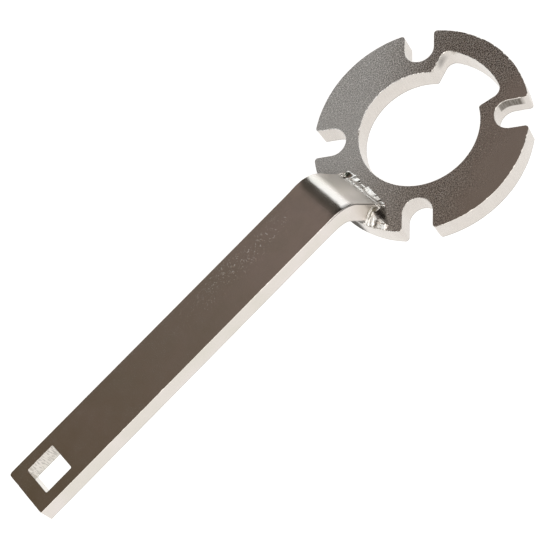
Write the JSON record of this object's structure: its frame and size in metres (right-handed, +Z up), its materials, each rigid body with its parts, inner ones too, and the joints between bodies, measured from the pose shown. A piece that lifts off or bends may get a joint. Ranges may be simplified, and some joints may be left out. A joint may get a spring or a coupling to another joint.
{
  "type": "fire hydrant wrench",
  "caption": "One-piece welded steel wrench: slotted ring head plate with a large bore, and a cranked flat bar handle with a square drive hole.",
  "frame": {"origin": "under the middle of the whole tool, level with the head plate's underside", "axes": "+X from the handle towards the head along the handle's length, +Y across the handle, +Z up out of the head plate's top face, the side that the handle is welded on"},
  "size_m": [0.2456, 0.088, 0.0444],
  "materials": {
    "plated_plate": "nickel-plated steel over a fine blasted grain, satin",
    "plated_bar": "nickel-plated steel, satin, smoother than the head",
    "plated_weld": "nickel-plated weld metal, glossy, rippled"
  },
  "bodies": {
    "root": {"head_plate": "plated_plate", "handle_bar": "plated_bar", "weld_end_bead": "plated_weld", "weld_right_fillet": "plated_weld", "weld_left_fillet": "plated_weld"}
  },
  "joints": []
}
